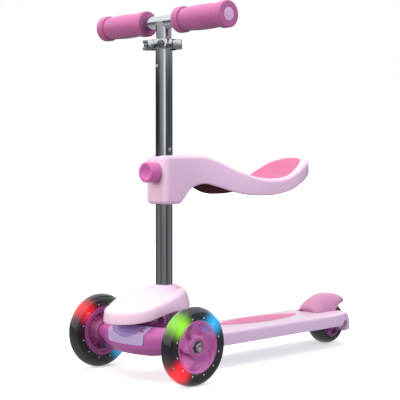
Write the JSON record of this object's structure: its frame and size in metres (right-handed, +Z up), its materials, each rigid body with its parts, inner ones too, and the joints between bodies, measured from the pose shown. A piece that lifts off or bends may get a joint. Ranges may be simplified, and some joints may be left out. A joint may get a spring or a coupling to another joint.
{
  "type": "kick scooter",
  "caption": "Child's three-wheeled lean-to-steer kick scooter with a T-bar, a saddle seat that slides on the mast, and light-up front wheels.",
  "frame": {"origin": "on the ground, in the middle of the scooter's footprint box", "axes": "+Z up, the front faces -Y, +X is the rider's left"},
  "size_m": [0.302, 0.5784, 0.6013],
  "materials": {
    "pale_plastic": "glossy moulded polypropylene, pale pink",
    "deep_plastic": "satin moulded nylon, orchid pink",
    "lavender_plastic": "satin moulded plastic, lavender",
    "inlay_rubber": "soft moulded rose-pink elastomer, fine stipple",
    "pad_foam": "soft moulded rose-pink foam skin",
    "grip_rubber": "soft moulded orchid rubber",
    "clear_tyre": "smoke-clear cast polyurethane",
    "mast_metal": "polished bright tube",
    "dark_hardware": "dark zinc-plated steel",
    "bright_hardware": "bright zinc-plated steel",
    "black_rubber": "black moulded rubber",
    "led_board": "white board with coloured lamps"
  },
  "bodies": {
    "deck": {"deck_shell": "pale_plastic", "deck_grip_inlay": "inlay_rubber", "stem_base": "pale_plastic", "stem_base_screw_left": "dark_hardware", "stem_base_screw_right": "dark_hardware", "mast_tube": "mast_metal", "mast_screw": "bright_hardware", "kingpin_plate": "dark_hardware", "kingpin_bolt": "dark_hardware", "kingpin_washer": "dark_hardware", "kingpin_nut": "dark_hardware", "kingpin_bush": "black_rubber", "clamp_front": "dark_hardware", "clamp_rear": "dark_hardware", "clamp_bolt": "bright_hardware", "clamp_nut": "dark_hardware", "clamp_rivet": "bright_hardware", "clamp_stud": "dark_hardware", "clamp_lever_pin": "bright_hardware", "rear_axle_bolt": "bright_hardware", "rear_axle_nut": "dark_hardware", "brake_pin": "bright_hardware"},
    "truck": {"truck_body": "deep_plastic", "truck_insert": "lavender_plastic", "axle_bolt_left": "bright_hardware", "axle_nut_left": "dark_hardware", "axle_bolt_right": "bright_hardware", "axle_nut_right": "dark_hardware"},
    "front_wheel_left": {"wheel_core_left": "deep_plastic", "tyre_left": "clear_tyre", "bearing_outer_left": "dark_hardware", "bearing_inner_left": "dark_hardware", "led_ring_left": "led_board", "axle_sleeve_left": "dark_hardware"},
    "front_wheel_right": {"wheel_core_right": "deep_plastic", "tyre_right": "clear_tyre", "bearing_outer_right": "dark_hardware", "bearing_inner_right": "dark_hardware", "led_ring_right": "led_board", "axle_sleeve_right": "dark_hardware"},
    "rear_wheel": {"wheel_core_rear": "deep_plastic", "tyre_rear": "clear_tyre", "bearing_outer_rear": "dark_hardware", "bearing_inner_rear": "dark_hardware", "axle_sleeve_rear": "dark_hardware"},
    "brake": {"brake_fender": "deep_plastic", "brake_pad": "black_rubber"},
    "handlebar": {"stem_tube": "mast_metal", "stem_end_plug": "black_rubber", "crossbar": "mast_metal", "grip_left": "grip_rubber", "grip_right": "grip_rubber", "grip_plug_left": "pale_plastic", "grip_plug_right": "pale_plastic"},
    "clamp_lever": {"clamp_lever": "dark_hardware"},
    "snap_button": {"snap_button": "bright_hardware"},
    "seat": {"seat_shell": "pale_plastic", "seat_pad": "pad_foam", "seat_bush": "black_rubber"},
    "seat_knob": {"seat_knob": "deep_plastic"}
  },
  "joints": [
    {"name": "truck_lean", "type": "hinge", "parent": "deck", "child": "truck", "pos_m": [0, -0.20675, 0.06], "axis": [0, -0.4226, 0.9063], "range_deg": [-8, 8], "stiffness_Nm_per_rad": 60},
    {"name": "front_wheel_left_spin", "type": "hinge", "parent": "truck", "child": "front_wheel_left", "pos_m": [0.1155, -0.21675, 0.0625], "axis": [1, 0, 0], "continuous": true},
    {"name": "front_wheel_right_spin", "type": "hinge", "parent": "truck", "child": "front_wheel_right", "pos_m": [-0.1155, -0.21675, 0.0625], "axis": [1, 0, 0], "continuous": true},
    {"name": "rear_wheel_spin", "type": "hinge", "parent": "deck", "child": "rear_wheel", "pos_m": [0, 0.24625, 0.04], "axis": [1, 0, 0], "continuous": true},
    {"name": "brake_press", "type": "hinge", "parent": "deck", "child": "brake", "pos_m": [0, 0.19725, 0.05], "axis": [-1, 0, 0], "range_deg": [0, 3], "stiffness_Nm_per_rad": 40, "springref_deg": -2.86},
    {"name": "handlebar_height", "type": "slide", "parent": "deck", "child": "handlebar", "axis": [0, 0, 1], "range_m": [0, 0.06]},
    {"name": "clamp_lever_swing", "type": "hinge", "parent": "deck", "child": "clamp_lever", "pos_m": [-0.02741, -0.18775, 0.54275], "axis": [0, 0, 1], "range_deg": [0, 100]},
    {"name": "snap_button_press", "type": "slide", "parent": "deck", "child": "snap_button", "axis": [0, 1, 0], "range_m": [0, 0.003], "stiffness_N_per_m": 1500, "springref_m": -0.0005},
    {"name": "seat_height", "type": "slide", "parent": "deck", "child": "seat", "axis": [0, 0, 1], "range_m": [-0.06, 0.006]},
    {"name": "seat_knob_pull", "type": "slide", "parent": "seat", "child": "seat_knob", "axis": [0, -1, 0], "range_m": [0, 0.006], "stiffness_N_per_m": 1500, "springref_m": -0.001}
  ]
}
